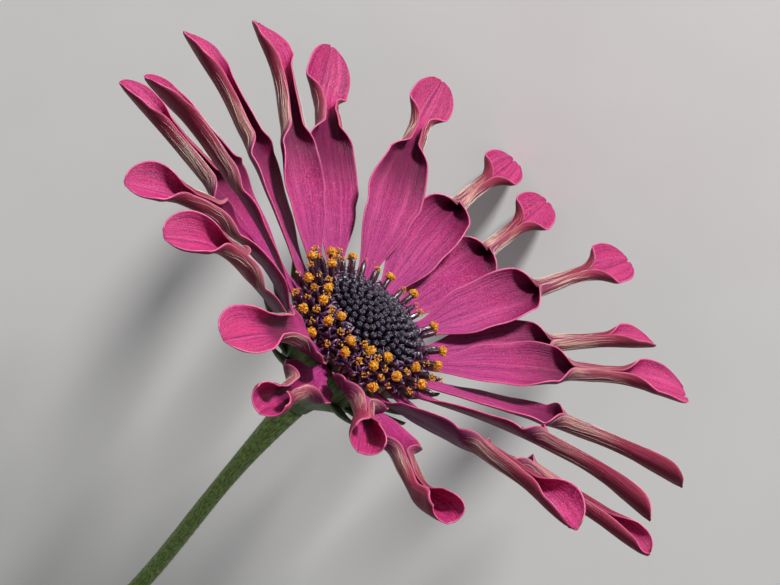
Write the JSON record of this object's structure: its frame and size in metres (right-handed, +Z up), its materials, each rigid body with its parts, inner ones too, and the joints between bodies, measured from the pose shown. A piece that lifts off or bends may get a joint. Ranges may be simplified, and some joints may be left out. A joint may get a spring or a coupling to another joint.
{
  "type": "african daisy bloom",
  "caption": "Cut daisy bloom with quilled spoon-tipped ray petals, a dark domed disc of florets, a cup of narrow green bracts and a bare stem, lying on a surface.",
  "frame": {"origin": "on the surface the bloom lies on, under the middle of its bounding box", "axes": "+Z up; +Y runs from the bloom to the cut end of the stem; the bloom's face looks along -Y and a little upward"},
  "size_m": [0.0639, 0.1041, 0.0648],
  "materials": {
    "petal": "satin, finely ribbed petal skin",
    "disc": "satin florets",
    "bract": "matt green leaf skin",
    "stem": "matt green stem skin with short hairs"
  },
  "bodies": {
    "root": {"stem": "stem", "involucre": "bract", "disc": "disc", "petal_01": "petal", "petal_02": "petal", "petal_03": "petal", "petal_04": "petal", "petal_05": "petal", "petal_06": "petal", "petal_07": "petal", "petal_08": "petal", "petal_09": "petal", "petal_10": "petal", "petal_11": "petal", "petal_12": "petal", "petal_13": "petal", "petal_14": "petal", "petal_15": "petal", "petal_16": "petal", "petal_17": "petal", "petal_18": "petal", "petal_19": "petal", "petal_20": "petal", "petal_21": "petal"}
  },
  "joints": []
}
